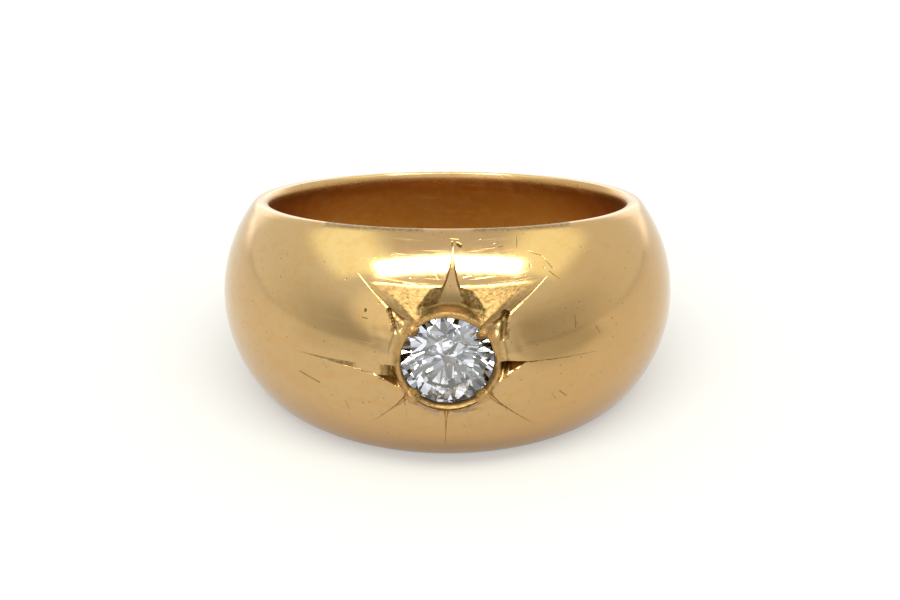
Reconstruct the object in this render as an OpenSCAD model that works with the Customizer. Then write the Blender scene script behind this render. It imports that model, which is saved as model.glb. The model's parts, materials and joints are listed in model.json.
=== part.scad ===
// Domed gold ring that tapers to the back, with one round stone sunk at the
// front in an eight-rayed star. It lies on its side, on its lower rim, with
// the stone towards -Y. Millimetres, +Z up, origin on the surface it lies on.

/* [Finger hole] */
// Radius of the finger hole
finger_r = 9.4; // [8.8:0.1:9.6]

/* [Dome] */
// Radius of the dome's crown line, around the dome's own axis
crown_r = 11.8; // [11.6:0.1:12.2]
// How far the dome's axis lies in front of the finger's axis
dome_shift = 1.2; // [0.8:0.1:1.3]
// Radius of the arc that the band has across its width
section_r = 7.2; // [7:0.1:8]
// Half of the band's width beside the finger
side_half_w = 4.5; // [4.2:0.1:4.6]
// Angle that each rim makes with the plane of the finger hole
rim_taper = 8.8; // [7:0.1:9.2]

/* [Stone] */
// Radius of the stone's girdle
girdle_r = 2.33; // [2.2:0.01:2.4]
// Depth of the girdle's top edge under the crown line
girdle_sink = 0.5; // [0.45:0.05:0.6]
// Height of the stone's middle above the middle of the band's width
star_rise = 0.2; // [0:0.05:0.25]
// Height of the table above the girdle
crown_h = 0.68; // [0.6:0.01:0.75]
// Radius of the table's corners, as a share of the girdle's radius
table_share = 0.57; // [0.53:0.01:0.62]
// Thickness of the girdle
girdle_h = 0.12; // [0.08:0.01:0.16]
// Depth of the pavilion under the girdle
pavilion_h = 2; // [1.9:0.05:2.05]

/* [Setting] */
// Gap between the stone and the gold
stone_gap = 0.04; // [0.03:0.01:0.06]
// Inner radius of the lip over the girdle
lip_r = 2.29; // [2.15:0.01:2.3]
// Outer radius of the lip's level top
lip_outer_r = 2.5; // [2.45:0.01:2.6]
// Radius at which the collar's slope runs into the dome
collar_r = 3.6; // [3.3:0.1:3.8]
// Height that the collar's slope falls from the lip to there
collar_fall = 0.95; // [0.8:0.05:1.1]
// Radius of the hole behind the stone
light_hole_r = 1.1; // [0.8:0.1:1.3]
// Radius of a grain
grain_r = 0.32; // [0.28:0.01:0.36]
// Distance of a grain from the stone's middle
grain_reach = 2.45; // [2.4:0.01:2.5]
// Depth of a grain's middle under the lip's level top
grain_sink = 0.1; // [0.06:0.01:0.14]

/* [Star] */
// Distance from the stone's middle at which the rays end
ray_start = 2.62; // [2.6:0.01:2.8]
// Sideways run of a ray's wall for each millimetre of its depth
ray_wall = 1.1; // [0.9:0.1:1.4]

/* [Hidden] */
$fn = 96;
gold = [0.86, 0.66, 0.33];
clear_stone = [0.88, 0.9, 0.93];

// Columns: direction round the stone from +X in degrees, reach from the
// stone's middle, half width of the floor and depth where the ray ends
RAYS = [
    [ 86.9, 5.3, 0.62, 0.52],
    [ 37.0, 6.2, 0.08, 0.42],
    [ -2.7, 7.8, 0.24, 0.46],
    [-42.9, 6.3, 0.06, 0.34],
    [-91.2, 5.8, 0.10, 0.24],
    [-135.1, 5.6, 0.06, 0.34],
    [182.6, 7.8, 0.24, 0.46],
    [138.5, 5.9, 0.08, 0.42]
];
GRAIN_DIRECTIONS = [44, 136, 224, 316];

arc_centre_r = crown_r - section_r;
rim_slope = tan(rim_taper);
front_y = crown_r + dome_shift;
lift_z = side_half_w * cos(rim_taper);
// The dome's axis is the middle of the ring's length along Y
centre_y = dome_shift * cos(rim_taper);
over = 1;
far = 2 * crown_r;

ray_steps = 6;
// Powers of the taper of a ray's floor and of its depth towards its tip
floor_power = 2.4;
depth_power = 1.3;
tip_size = 0.02;
// How far a ray's cutter stands above the dome
ray_clear = 1.1;

// Radius of the dome around its own axis at a height z over its middle
function dome_r(z) = arc_centre_r + sqrt(section_r * section_r - z * z);
// Height of the dome over the plane through the stone's place on the crown
function dome_w(x, y) = sqrt(pow(dome_r(y + star_rise), 2) - x * x) - crown_r;

// From the ring's own upright frame to the pose in which it lies
module laid() {
    translate([0, centre_y, lift_z]) rotate([-rim_taper, 0, 0]) children();
}

// From the stone's frame, with +Z out of the table and +Y up the band
module at_stone() {
    translate([0, -front_y, star_rise]) rotate([90, 0, 0]) children();
}

module dome() {
    rotate_extrude($fn = 180) intersection() {
        translate([arc_centre_r, 0]) circle(r = section_r, $fn = 180);
        translate([arc_centre_r, -section_r]) square([section_r + over, 2 * section_r]);
    }
}

// The room between the two rims, which close in towards the back
module rim_room() {
    rotate([90, 0, 90]) linear_extrude(height = 2 * far, center = true) polygon([
        for (side = [-1, 1]) for (along = [side * -far, side * far])
            [along, side * (side_half_w - rim_slope * along)]
    ]);
}

module finger_bore() {
    cylinder(r = finger_r, h = 2 * far, center = true, $fn = 180);
}

// One ray's cutter: a flat-floored groove that narrows and rises to its tip
module ray(direction, reach, floor_half, depth) {
    function taper(i, power) = pow(1 - i / ray_steps, power);
    points = [
        for (i = [0:ray_steps])
            let (
                s = ray_start + (reach - ray_start) * i / ray_steps,
                x = s * cos(direction),
                y = s * sin(direction),
                w = dome_w(x, y),
                half = tip_size + floor_half * taper(i, floor_power),
                d = tip_size + depth * taper(i, depth_power),
                top_half = half + (d + ray_clear) * ray_wall
            )
            for (corner = [[half, -d], [-half, -d], [-top_half, ray_clear], [top_half, ray_clear]])
                [x - corner[0] * sin(direction), y + corner[0] * cos(direction), w + corner[1]]
    ];
    sides = [
        for (i = [0:ray_steps - 1]) for (j = [0:3]) for (half = [0, 1])
            let (a = 4 * i + j, b = 4 * i + (j + 1) % 4)
            half == 0 ? [a, b, b + 4] : [a, b + 4, a + 4]
    ];
    last = 4 * ray_steps;
    polyhedron(points = points, faces = concat(
        [[3, 2, 1, 0]], sides, [[last, last + 1, last + 2, last + 3]]));
}

// The metal raised to a level lip round the stone
module collar() {
    translate([0, 0, -collar_fall - over]) cylinder(r = collar_r, h = over);
    translate([0, 0, -collar_fall]) cylinder(r1 = collar_r, r2 = lip_outer_r, h = collar_fall);
}

// Room for the stone: a cone under it, its girdle, and the mouth over it
module seat() {
    room_r = girdle_r + stone_gap;
    girdle_low = -girdle_sink - girdle_h;
    room_low = girdle_low - stone_gap;
    cone_h = pavilion_h * (room_r - light_hole_r) / girdle_r;
    translate([0, 0, room_low - cone_h]) cylinder(r1 = light_hole_r, r2 = room_r, h = cone_h);
    translate([0, 0, room_low]) cylinder(r = room_r, h = girdle_h + 3 * stone_gap);
    translate([0, 0, -girdle_sink]) cylinder(r = lip_r, h = girdle_sink + over);
    translate([0, 0, -front_y]) cylinder(r = light_hole_r, h = front_y + girdle_low, $fn = 48);
}

module grains() {
    for (a = GRAIN_DIRECTIONS)
        rotate([0, 0, a]) translate([grain_reach, 0, -grain_sink]) sphere(r = grain_r, $fn = 32);
}

module band() {
    color(gold) laid() {
        difference() {
            union() {
                intersection() {
                    translate([0, -dome_shift, 0]) dome();
                    rim_room();
                }
                at_stone() collar();
            }
            finger_bore();
            at_stone() seat();
            at_stone() for (r = RAYS) ray(r[0], r[1], r[2], r[3]);
        }
        at_stone() grains();
    }
}

// A corner of the stone at a radius, an angle in steps of the girdle's
// sixteen corners, and a height over the girdle's top edge
function corner(r, step, z) = [r * cos(step * 22.5), r * sin(step * 22.5), z];

// Round brilliant: table, 8 star, 8 main and 16 upper facets, the girdle,
// 16 lower and 8 pavilion facets
module diamond() {
    table_r = table_share * girdle_r;
    star_r = (table_r + girdle_r) / 2;
    low_r = 0.24 * girdle_r;
    main_cos = cos(22.5);
    star_z = crown_h * (girdle_r - star_r * main_cos) / (girdle_r - table_r);
    low_z = -girdle_h - pavilion_h * (1 - low_r * main_cos / girdle_r);
    points = concat(
        [for (k = [0:7]) corner(table_r, 2 * k, crown_h)],
        [for (k = [0:7]) corner(star_r, 2 * k + 1, star_z)],
        [for (j = [0:15]) corner(girdle_r, j, 0)],
        [for (j = [0:15]) corner(girdle_r, j, -girdle_h)],
        [for (k = [0:7]) corner(low_r, 2 * k + 1, low_z)],
        [[0, 0, -girdle_h - pavilion_h]]
    );
    function star_at(k) = 8 + (k + 8) % 8;
    function upper_at(j) = 16 + (j + 16) % 16;
    function lower_at(j) = 32 + (j + 16) % 16;
    function low_at(k) = 48 + (k + 8) % 8;
    culet = 56;
    faces = concat(
        [[for (k = [7:-1:0]) k]],
        [for (k = [0:7]) [k, (k + 1) % 8, star_at(k)]],
        [for (k = [0:7]) [k, star_at(k), upper_at(2 * k), star_at(k - 1)]],
        [for (k = [0:7]) for (j = [0, 1]) [star_at(k), upper_at(2 * k + j + 1), upper_at(2 * k + j)]],
        [for (j = [0:15]) [upper_at(j), upper_at(j + 1), lower_at(j + 1), lower_at(j)]],
        [for (k = [0:7]) for (j = [0, 1]) [low_at(k), lower_at(2 * k + j), lower_at(2 * k + j + 1)]],
        [for (k = [0:7]) [culet, low_at(k - 1), lower_at(2 * k), low_at(k)]]
    );
    color(clear_stone) laid() at_stone() translate([0, 0, -girdle_sink])
        polyhedron(points = points, faces = faces);
}

band();
diamond();
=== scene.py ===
import json
import math

import bpy
from bpy.props import FloatProperty, FloatVectorProperty, PointerProperty
from bpy.types import Operator, Panel, PropertyGroup
from mathutils import Matrix, Vector, noise


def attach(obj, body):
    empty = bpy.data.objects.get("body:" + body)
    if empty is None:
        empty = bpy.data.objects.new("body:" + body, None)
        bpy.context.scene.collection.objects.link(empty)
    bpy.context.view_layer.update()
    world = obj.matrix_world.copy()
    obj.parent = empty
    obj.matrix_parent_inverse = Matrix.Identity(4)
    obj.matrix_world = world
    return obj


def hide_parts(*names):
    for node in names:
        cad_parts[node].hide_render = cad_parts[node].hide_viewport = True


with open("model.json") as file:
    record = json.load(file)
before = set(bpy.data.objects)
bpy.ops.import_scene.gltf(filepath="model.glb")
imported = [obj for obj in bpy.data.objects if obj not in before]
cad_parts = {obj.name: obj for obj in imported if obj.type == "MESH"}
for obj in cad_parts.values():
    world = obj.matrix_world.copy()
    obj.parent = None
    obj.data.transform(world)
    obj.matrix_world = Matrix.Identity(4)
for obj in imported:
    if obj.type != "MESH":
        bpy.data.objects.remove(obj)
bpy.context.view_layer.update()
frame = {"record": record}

bl_info = {
    "name": "Star-Set Domed Ring",
    "version": (1, 0, 0),
    "blender": (4, 5, 0),
    "location": "View3D > Sidebar > Ring",
    "description": "Dresses the domed gold ring and its star-set round brilliant",
    "category": "Object",
}

MM = 0.001
# Height in millimetres of the stone's middle above the middle of the band
STAR_RISE = 0.2
HOLE = next(m for m in frame["record"]["mounts"] if m["name"] == "finger_hole")
HOLE_CENTRE = Vector(HOLE["pos_m"])
HOLE_AXIS = Vector(HOLE["axis"]).normalized()

# The ring's frame has X to the right, Y to the back and Z along the finger
# hole's axis. It leans back on the surface by the taper of the rims.
LEAN = math.atan2(HOLE_AXIS.y, HOLE_AXIS.z)
RIM_SLOPE = math.tan(LEAN)
TO_FRAME = Matrix.Translation(HOLE_CENTRE) @ Matrix.Rotation(-LEAN, 4, "X")

# The rays anticlockwise from the right-hand one. Columns: direction round the
# stone from +X in degrees; reach from the stone's middle; sideways shift; half
# the floor's width at the stone and the power by which it narrows; depth at the
# stone and its power; depth of the long thin cut; depth of the straight wedge
# at the stone and where it ends; sideways run for their depth of the wall on
# the anticlockwise side and of the other one; side to which the floor leans;
# run of the foot; growth of the walls' run beside the petals. Lengths are in
# millimetres.
RAYS = [
    (-2.6, 7.8, -0.03, 0.03, 6.0, 0.04, 3.0, 0.055, 0.90, 3.95, 0.12, 0.85, 0, 0.26, 0),
    (37.0, 6.2, 0.00, 0.02, 2.0, 0.07, 5.0, 0.052, 0.00, 3.00, 1.00, 1.40, 0, 0.60, 0),
    (86.9, 5.3, 0.00, 0.74, 2.2, 0.30, 1.7, 0.125, 0.00, 3.00, 0.6, 0.6, 0, 0.05, 2.1),
    (138.5, 5.9, 0.00, 0.02, 2.0, 0.07, 5.0, 0.052, 0.00, 3.00, 1.40, 1.00, 0, 0.60, 0),
    (180.6, 7.8, 0.29, 0.36, 2.0, 0.06, 2.0, 0.055, 0.48, 3.42, 0.55, 0.12, 1, 0.22, 0),
    (224.9, 5.6, 0.00, 0.02, 4.0, 0.14, 6.0, 0.050, 0.00, 3.00, 1.00, 1.00, 0, 0.12, 0),
    (268.8, 5.8, 0.00, 0.02, 4.0, 0.10, 6.0, 0.040, 0.00, 3.00, 1.00, 1.00, 0, 0.12, 0),
    (317.1, 6.3, 0.00, 0.02, 4.0, 0.12, 6.0, 0.050, 0.00, 3.00, 1.00, 1.00, 0, 0.12, 0),
]
# The rays between which the petals rise to the lip
LEFT_OF_PETALS = 3
RIGHT_OF_PETALS = 1

# Hollows left by the graver behind the upper grains. Columns, in millimetres
# from the stone's middle: both ends, half the width and the depth at the first
HOLLOWS = [
    (2.82, 2.25, 2.70, 1.10, 0.27, 0.25),
    (-2.86, 2.40, -2.50, 1.38, 0.13, 0.20),
    (2.30, 1.50, 1.85, 1.66, 0.24, 0.14),
    (-2.25, 1.60, -1.80, 1.78, 0.20, 0.08),
]

# Painted shade in the dark pockets beside the setting and under the lip. Columns,
# in millimetres from the stone's middle: place, half the width and the height, and how dark
SHADED_POCKETS = [
    (-3.12, -0.68, 0.24, 0.42, 0.6),
    (2.78, 1.62, 0.22, 0.55, 0.9),
    (-2.68, 1.85, 0.10, 0.42, 0.8),
    (-2.42, 2.05, 0.20, 0.22, 0.75),
    (2.88, -0.45, 0.16, 0.50, 0.6),
    (0.90, -2.62, 0.70, 0.10, 0.5),
    (-1.70, -2.20, 0.25, 0.12, 0.5),
    (2.05, 1.65, 0.18, 0.26, 0.5),
    (-2.30, 1.75, 0.10, 0.22, 0.6),
]

# Columns: direction from +X in degrees, then in millimetres the distance from
# the stone's middle, half the length and half the width of the grain
GRAINS = [
    (41, 2.26, 0.32, 0.25),
    (136, 2.38, 0.30, 0.34),
    (226, 2.42, 0.36, 0.40),
    (314, 2.48, 0.36, 0.40),
]

# Scratches and nicks seen on the front. Columns, in millimetres from the
# stone's middle: both ends, half the width, the depth in hundredths
MARKS = [
    (-7.4, -1.50, -6.4, -1.85, 0.035, 1.0),
    (-4.05, 2.27, -4.03, 2.33, 0.06, 2.0),
    (-4.2, 1.95, -3.95, 1.93, 0.03, 1.0),
    (-2.15, -1.95, -2.1, -2.45, 0.03, 1.0),
    (-2.0, -2.75, -2.05, -3.1, 0.02, 0.6),
    (5.6, -2.15, 5.95, -2.55, 0.04, 0.8),
    (5.2, -2.2, 5.4, -2.6, 0.02, 0.6),
    (3.42, 5.42, 3.40, 4.98, 0.02, 0.8),
    (2.45, 5.1, 2.7, 5.12, 0.035, 0.6),
    (5.05, 3.85, 5.55, 3.45, 0.025, 1.0),
    (4.0, 4.8, 4.65, 4.55, 0.02, 0.8),
    (4.65, 4.55, 5.2, 3.97, 0.02, 0.8),
    (4.05, 4.28, 4.08, 4.18, 0.045, 1.5),
    (6.3, 1.7, 6.35, 1.1, 0.03, 0.8),
    (-3.0, 3.52, -2.5, 3.50, 0.03, -0.8),
    (-2.15, 3.66, -1.40, 3.56, 0.03, -0.8),
    (-0.62, 4.05, -0.50, 3.80, 0.05, -0.8),
    (0.8, 3.92, 1.15, 3.98, 0.03, -0.8),
    (1.4, 3.86, 2.1, 3.90, 0.03, -0.8),
    (0.22, 5.24, 0.24, 5.34, 0.04, 2.5),
    (0.50, 5.28, 0.64, 5.22, 0.07, 2.5),
    (0.15, 5.46, 0.55, 5.44, 0.02, 1.0),
    (-6.2, -0.6, -6.0, -0.9, 0.02, 0.5),
    (-5.1, -2.6, -4.9, -3.2, 0.02, 0.5),
    (2.9, -2.6, 3.0, -3.3, 0.02, 0.5),
    (7.4, 0.9, 7.6, 0.5, 0.03, 0.6),
]


def number(name, description, default, low, high, **more):
    return FloatProperty(
        name=name, description=description, default=default, min=low, max=high, **more)


def length(name, description, *values):
    """A length whose default, lowest and highest value are in millimetres."""
    values = [value * MM for value in values]
    return number(name, description, *values, subtype="DISTANCE", precision=5)


def rgb(name, description, default, high=1):
    return FloatVectorProperty(
        name=name, description=description, default=default, size=3, min=0, max=high,
        subtype="COLOR")


class RingShape(PropertyGroup):
    """Sizes of the band and its setting"""

    crown_r: length("Crown Radius", "Radius of the dome's crown line", 11.795, 11.6, 12.2)
    dome_shift: length(
        "Dome Shift", "How far the dome's axis lies in front of the finger's", 1.2, 0.8, 1.3)
    section_r: length("Section Radius", "Radius of the arc across the band's width", 7.2, 7, 8)
    finger_r: length("Finger Hole Radius", "Radius of the finger hole", HOLE["dims"]["r_mm"], 8.8, 9.6)
    side_half_w: length("Side Half Width", "Half of the band's width beside the finger", 4.5, 4.2, 4.6)
    star_rise: length(
        "Star Rise", "Height of the stone above the middle of the band", STAR_RISE, 0, 0.25)
    lip_r: length("Lip Inner Radius", "Radius of the lip where it meets the stone", 2.29, 2.15, 2.3)
    lip_outer_r: length("Lip Outer Radius", "Radius where the lip's level top ends", 2.5, 2.45, 2.6)
    collar_slope: number(
        "Collar Slope", "Fall of the lip's outer side for its run", 1.05, 0.6, 1.4)
    petal_tilt: number(
        "Petal Tilt", "Angle between the dome and the upper petals at their crease",
        math.radians(6.2), 0, math.radians(16), subtype="ANGLE")
    petal_r: length(
        "Petal Reach", "Height over the stone's middle where the petals rise", 3.43, 3.2, 4.2)
    light_hole_r: length("Light Hole Radius", "Radius of the hole behind the stone", 1.1, 0.8, 1.3)
    edge_round: length("Edge Rounding", "Rounding of the rims' worn edges", 0.2, 0.1, 0.3)


class RingFinish(PropertyGroup):
    """Colours and finish of the gold and the stone"""

    gold: rgb("Gold", "Colour of the polished gold", (0.56, 0.37, 0.172))
    # The cuts darken with their depth: tarnish, and painted shade of their walls
    tarnish_and_shade: rgb("Tarnish", "Colour of the gold in the deepest cuts", (0.34, 0.22, 0.10))
    # Colour of dirt, also used for painted shade in the cuts, the pockets and beside the petals
    dirt_and_shade: rgb("Dirt", "Colour of the dirt in the cuts and beside the stone", (0.155, 0.098, 0.03))
    # Painted shade and painted gold-on-gold reflections in the finger hole
    inside: rgb("Inside", "Colour of the duller gold in the finger hole", (0.43, 0.165, 0.018))
    # Rough gold round the stone, with painted shade and reflected orange light on its lip and grains
    setting: rgb("Setting", "Colour of the rough gold round the stone", (0.50, 0.27, 0.09))
    polish: number("Roughness", "Roughness of the polished gold", 0.115, 0.02, 0.6)
    wear: number("Wear", "Strength of the hairline scratches", 0.7, 0, 2)
    stone: rgb("Stone", "Colour of the stone", (0.97, 0.98, 1.0))


class StageSet(PropertyGroup):
    """The floor, lights and camera"""

    floor: rgb("Floor", "Colour of the floor", (0.36, 0.357, 0.354))
    floor_glow: rgb("Floor Glow", "Light that the floor gives off by itself", (0.40, 0.396, 0.392), 2)
    box_power: number("Softbox", "Power of the softbox over the ring", 1.0, 0, 100)


def clamp(value):
    """The value, but at least 0 and at most 1."""
    return min(max(value, 0), 1)


def turn_from(a, b):
    """The shorter turn from one direction to another, both in radians."""
    return math.remainder(b - a, 2 * math.pi)


def smooth_max(a, b, blend):
    """The larger of two heights, run together over a blend."""
    near = max(blend - abs(a - b), 0) / blend
    return max(a, b) + near * near * blend / 4


def smooth_step(low, high, value):
    """0 at the low end and 1 at the high end, which may be the smaller one."""
    t = clamp((value - low) / (high - low))
    return t * t * (3 - 2 * t)


def mm_step(low, high, value):
    """smooth_step with its ends in millimetres."""
    return smooth_step(low * MM, high * MM, value)


# Rounds in which a height or a width settles that depends on itself
EDGE_ROUNDS = 40
WALL_ROUNDS = 4


class Dome:
    """The ring's outer form, as formulas in the ring's own frame."""

    def __init__(self, shape):
        self.shape = shape
        self.arc_centre_r = shape.crown_r - shape.section_r
        self.front_y = shape.crown_r + shape.dome_shift

    def radius(self, z):
        """Radius round the dome's axis at a height over the band's middle."""
        return self.arc_centre_r + math.sqrt(self.shape.section_r ** 2 - z * z)

    def height(self, x, y):
        """Height over the plane that touches the crown at the stone's place."""
        return math.sqrt(self.radius(y + self.shape.star_rise) ** 2 - x * x) - self.shape.crown_r

    def bore(self, turn):
        """Distance from the dome's axis to the finger hole's wall."""
        shift = self.shape.dome_shift
        reach = self.shape.finger_r ** 2 - (shift * math.sin(turn)) ** 2
        return math.sqrt(reach) - shift * math.cos(turn)

    def rim(self, turn, r):
        """Height of the rim at a distance from the dome's axis."""
        along = -self.shape.dome_shift - r * math.cos(turn)
        return self.shape.side_half_w - RIM_SLOPE * along

    def edge(self, turn):
        """Height at which the dome meets the rim."""
        z = self.shape.side_half_w
        for _ in range(EDGE_ROUNDS):
            z = self.rim(turn, self.radius(z))
        return z

    def polar(self, point):
        """A point's turn from the front and its distance from the dome's axis."""
        forward = -point.y - self.shape.dome_shift
        return math.atan2(point.x, forward), math.hypot(point.x, forward)

    def place(self, turn, r, z):
        """A point by its turn from the front, its radius and its height."""
        y = -self.shape.dome_shift - r * math.cos(turn)
        return TO_FRAME @ Vector((r * math.sin(turn), y, z))

    def place_at_stone(self, x, y, w):
        """A point by its place round the stone and its height there."""
        return TO_FRAME @ Vector((x, -self.front_y - w, y + self.shape.star_rise))


class Ray:
    """One cut of the star: where it runs, how wide and how deep it is."""

    start = 2.62 * MM
    tip_size = 0.012 * MM
    # Power by which the long thin cut gets shallower towards its tip
    line_power = 0.6

    def __init__(self, row):
        (direction, reach, shift, half, half_power, depth, depth_power, line,
         wedge, wedge_end, wall_after, wall_before, lean, foot, flare) = row
        self.angle = math.radians(direction)
        self.along = Vector((math.cos(self.angle), math.sin(self.angle)))
        self.across = Vector((-self.along.y, self.along.x))
        self.reach = reach * MM
        self.shift = shift * MM
        self.floor_half = half * MM
        self.floor_power = half_power
        self.depth = depth * MM
        self.depth_power = depth_power
        self.line_depth = line * MM
        self.wedge = wedge * MM
        self.wedge_end = wedge_end * MM
        self.walls = {1: wall_after, -1: wall_before}
        self.lean = lean
        self.foot_run = foot * MM
        self.flare = flare

    def locate(self, x, y):
        """How far along the ray and how far to its anticlockwise side a place is."""
        return self.along.dot((x, y)), self.across.dot((x, y))

    def at(self, s, across):
        """The place at a distance along the ray and one to its side."""
        return self.along * s + self.across * across

    def profile(self, s):
        """Middle and half width of the floor, and its depth, at a distance."""
        left = 1 - clamp((s - self.start) / (self.reach - self.start))
        half = self.tip_size + self.floor_half * left ** self.floor_power
        deep = self.line_depth * left ** self.line_power + self.depth * left ** self.depth_power
        deep += self.wedge * max((self.wedge_end - s) / (self.wedge_end - self.start), 0)
        return self.shift + self.lean * half, half, deep

    def wall_run(self, s, side):
        """Sideways run of a wall for its depth at a distance, on either side."""
        grown = self.flare * mm_step(3.55, 3.40, s)
        return self.walls[side] * (1 + grown * (1 + (s - self.start) / (0.9 * MM)))

    def foot(self, r):
        """0 on the lip and 1 where the ray has its full depth."""
        return smooth_step(self.start - 0.4 * self.foot_run, self.start + self.foot_run, r)


class Star:
    """The cut star round the stone: heights, and where its edges run."""

    collar_blend = 0.04 * MM
    collar_reach = 3.4 * MM
    petal_low = 1 * MM
    petal_blend = 0.03 * MM
    petal_edge = 0.55 * MM
    # How near the stone a ray still counts, and how far beside its floor
    ray_from = 1.5 * MM
    ray_beside = 1.6 * MM
    # Sizes and heights of the tool's dents, and of the finer ones above the stone
    dent_size = 0.5 * MM
    dent_height = 0.016 * MM
    lump_size = 0.17 * MM
    lump_height = 0.004 * MM

    def __init__(self, dome):
        self.dome = dome
        self.shape = dome.shape
        self.rays = [Ray(row) for row in RAYS]
        self.hollows = [[size * MM for size in row] for row in HOLLOWS]
        crease_z = dome.shape.petal_r + dome.shape.star_rise
        fall = math.asin(crease_z / dome.shape.section_r)
        self.petal_rise = math.tan(fall + dome.shape.petal_tilt)

    def base(self, x, y):
        """The dome with the petals and the lip's collar raised on it."""
        r = math.hypot(x, y)
        w = self.dome.height(x, y)
        if self.petal_low < y < self.shape.petal_r + self.petal_blend:
            crease = self.dome.height(x, self.shape.petal_r)
            petal = crease + (self.shape.petal_r - y) * self.petal_rise
            w += (smooth_max(petal, w, self.petal_blend) - w) * self.between_petal_rays(x, y)
        if r < self.collar_reach:
            edge = lip_edge(self.shape, math.atan2(y, x))
            w = smooth_max(w, -self.shape.collar_slope * (r - edge), self.collar_blend)
        return w + self.tool_marks(x, y, r)

    def between_petal_rays(self, x, y):
        left = self.rays[LEFT_OF_PETALS]
        right = self.rays[RIGHT_OF_PETALS]
        inside = min(-left.across.dot((x, y)), right.across.dot((x, y)))
        return clamp(inside / self.petal_edge)

    def tool_marks(self, x, y, r):
        """Shallow dents round the setting from the punch and the graver."""
        near = mm_step(4.6, 3.4, r) * mm_step(2.5, 2.8, r)
        if not near:
            return 0
        top = mm_step(2.2, 2.6, y) * mm_step(2.6, 1.6, abs(x))
        dent = noise.noise(Vector((x, y, 0)) / self.dent_size)
        dent *= self.dent_height * (1 - 0.625 * top)
        lump = noise.noise(Vector((x * 1.6, y, 4 * MM)) / self.lump_size)
        return (dent + lump * self.lump_height * top) * near

    def height(self, x, y):
        """The finished surface: the base less the rays and the hollows."""
        w = self.base(x, y)
        r = math.hypot(x, y)
        for ray in self.rays:
            s, across = ray.locate(x, y)
            if s < self.ray_from or s >= ray.reach:
                continue
            middle, half, deep = ray.profile(s)
            side = across - middle
            if abs(side) > half + self.ray_beside:
                continue
            on_axis = self.dome.height(*ray.at(s, middle))
            wall = ray.wall_run(s, -1 if side < 0 else 1)
            cut = on_axis - deep + max(abs(side) - half, 0) / wall
            if cut < w:
                w += (cut - w) * ray.foot(r)
        return w - self.hollow(x, y, r)

    def hollow(self, x, y, r):
        """Depth of the graver's hollows at a place."""
        total = 0
        lip_end = smooth_step(self.shape.lip_outer_r, self.shape.lip_outer_r + 0.06 * MM, r)
        for x0, y0, x1, y1, half, deep in self.hollows:
            run_x = x1 - x0
            run_y = y1 - y0
            share = clamp(((x - x0) * run_x + (y - y0) * run_y) / (run_x ** 2 + run_y ** 2))
            away = math.hypot(x - x0 - share * run_x, y - y0 - share * run_y)
            away /= half * (1 - 0.4 * share)
            if away < 1:
                total += deep * (1 - 0.6 * share) * (1 - away * away) ** 1.5 * lip_end
        return total

    def shade_beside_petals(self, x, y, r):
        """Painted shade: 1 on the walls between the petals and the upper ray's floor, less beside."""
        ray = next(ray for ray in self.rays if ray.flare)
        s, across = ray.locate(x, y)
        if s < 2.3 * MM or s > 3.6 * MM or r < 2.5 * MM:
            return 0
        middle, half, top = self.wall_top(ray, s, -1 if across < 0 else 1)
        share = (abs(across - middle) - half) / (top - half)
        on_wall = smooth_step(-0.04, 0.06, share) * smooth_step(1.4, 0.95, share)
        foot = 0.5 * mm_step(2.82, 2.7, r) * smooth_step(1.2, 0.9, share)
        beside = 0.5 * smooth_step(2.8, 1.0, share) * smooth_step(0.5, 1.0, share)
        lip_end = mm_step(2.5, 2.56, r)
        return max(on_wall, foot, beside) * mm_step(3.55, 3.4, s) * lip_end

    def pocket_shade(self, x, y):
        """How dark the painted shade in the pockets beside the setting is at a place."""
        dark = 0
        ragged = 0.5 * noise.noise(Vector((x, y, 0)) / (0.16 * MM))
        for middle_x, middle_y, half_x, half_y, strength in SHADED_POCKETS:
            away = max(abs(x / MM - middle_x) / half_x, abs(y / MM - middle_y) / half_y)
            dark = max(dark, strength * smooth_step(1.2, 0.7, away + ragged))
        return dark

    def wall_top(self, ray, s, side_sign):
        """The floor's middle and half width, and where a wall meets the base."""
        middle, half, deep = ray.profile(s)
        run = ray.wall_run(s, side_sign)
        floor_w = self.dome.height(*ray.at(s, middle)) - deep
        top = half + deep * run
        for _ in range(WALL_ROUNDS):
            edge = ray.at(s, middle + side_sign * top)
            top = half + max(self.base(*edge) - floor_w, 0) * run
        return middle, half, max(top, half + 0.015 * MM)


def start_piece():
    """Leaves edit mode and deselects all, so an operator acts on its own piece."""
    if bpy.context.object and bpy.context.object.mode != "OBJECT":
        bpy.ops.object.mode_set(mode="OBJECT")
    bpy.ops.object.select_all(action="DESELECT")


def name_piece(name):
    piece = bpy.context.object
    piece.name = name
    piece.data.name = name
    return piece


def pick(*pieces):
    """Selects these objects alone, the first one active."""
    start_piece()
    for piece in pieces:
        piece.select_set(True)
    bpy.context.view_layer.objects.active = pieces[0]


def add_piece(name, add, **settings):
    """Adds an object by an operator and names it."""
    start_piece()
    add(**settings)
    return name_piece(name)


def net(name, columns, rows, place):
    """A grid of quads whose corner (column, row) is moved to place(column, row)."""
    piece = add_piece(
        name, bpy.ops.mesh.primitive_grid_add, x_subdivisions=columns, y_subdivisions=rows, size=2)
    for vertex in piece.data.vertices:
        column = round((vertex.co.x + 1) / 2 * columns)
        row = round((vertex.co.y + 1) / 2 * rows)
        vertex.co = place(column, row)
    return piece


def join(name, pieces, merge=1e-3 * MM):
    """Joins pieces into one mesh, merges what coincides and turns faces outwards."""
    pick(*pieces)
    if len(pieces) > 1:
        bpy.ops.object.join()
    piece = name_piece(name)
    bpy.ops.object.mode_set(mode="EDIT")
    bpy.ops.mesh.select_all(action="SELECT")
    bpy.ops.mesh.remove_doubles(threshold=merge)
    bpy.ops.mesh.normals_make_consistent(inside=False)
    bpy.ops.object.mode_set(mode="OBJECT")
    return piece


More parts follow.
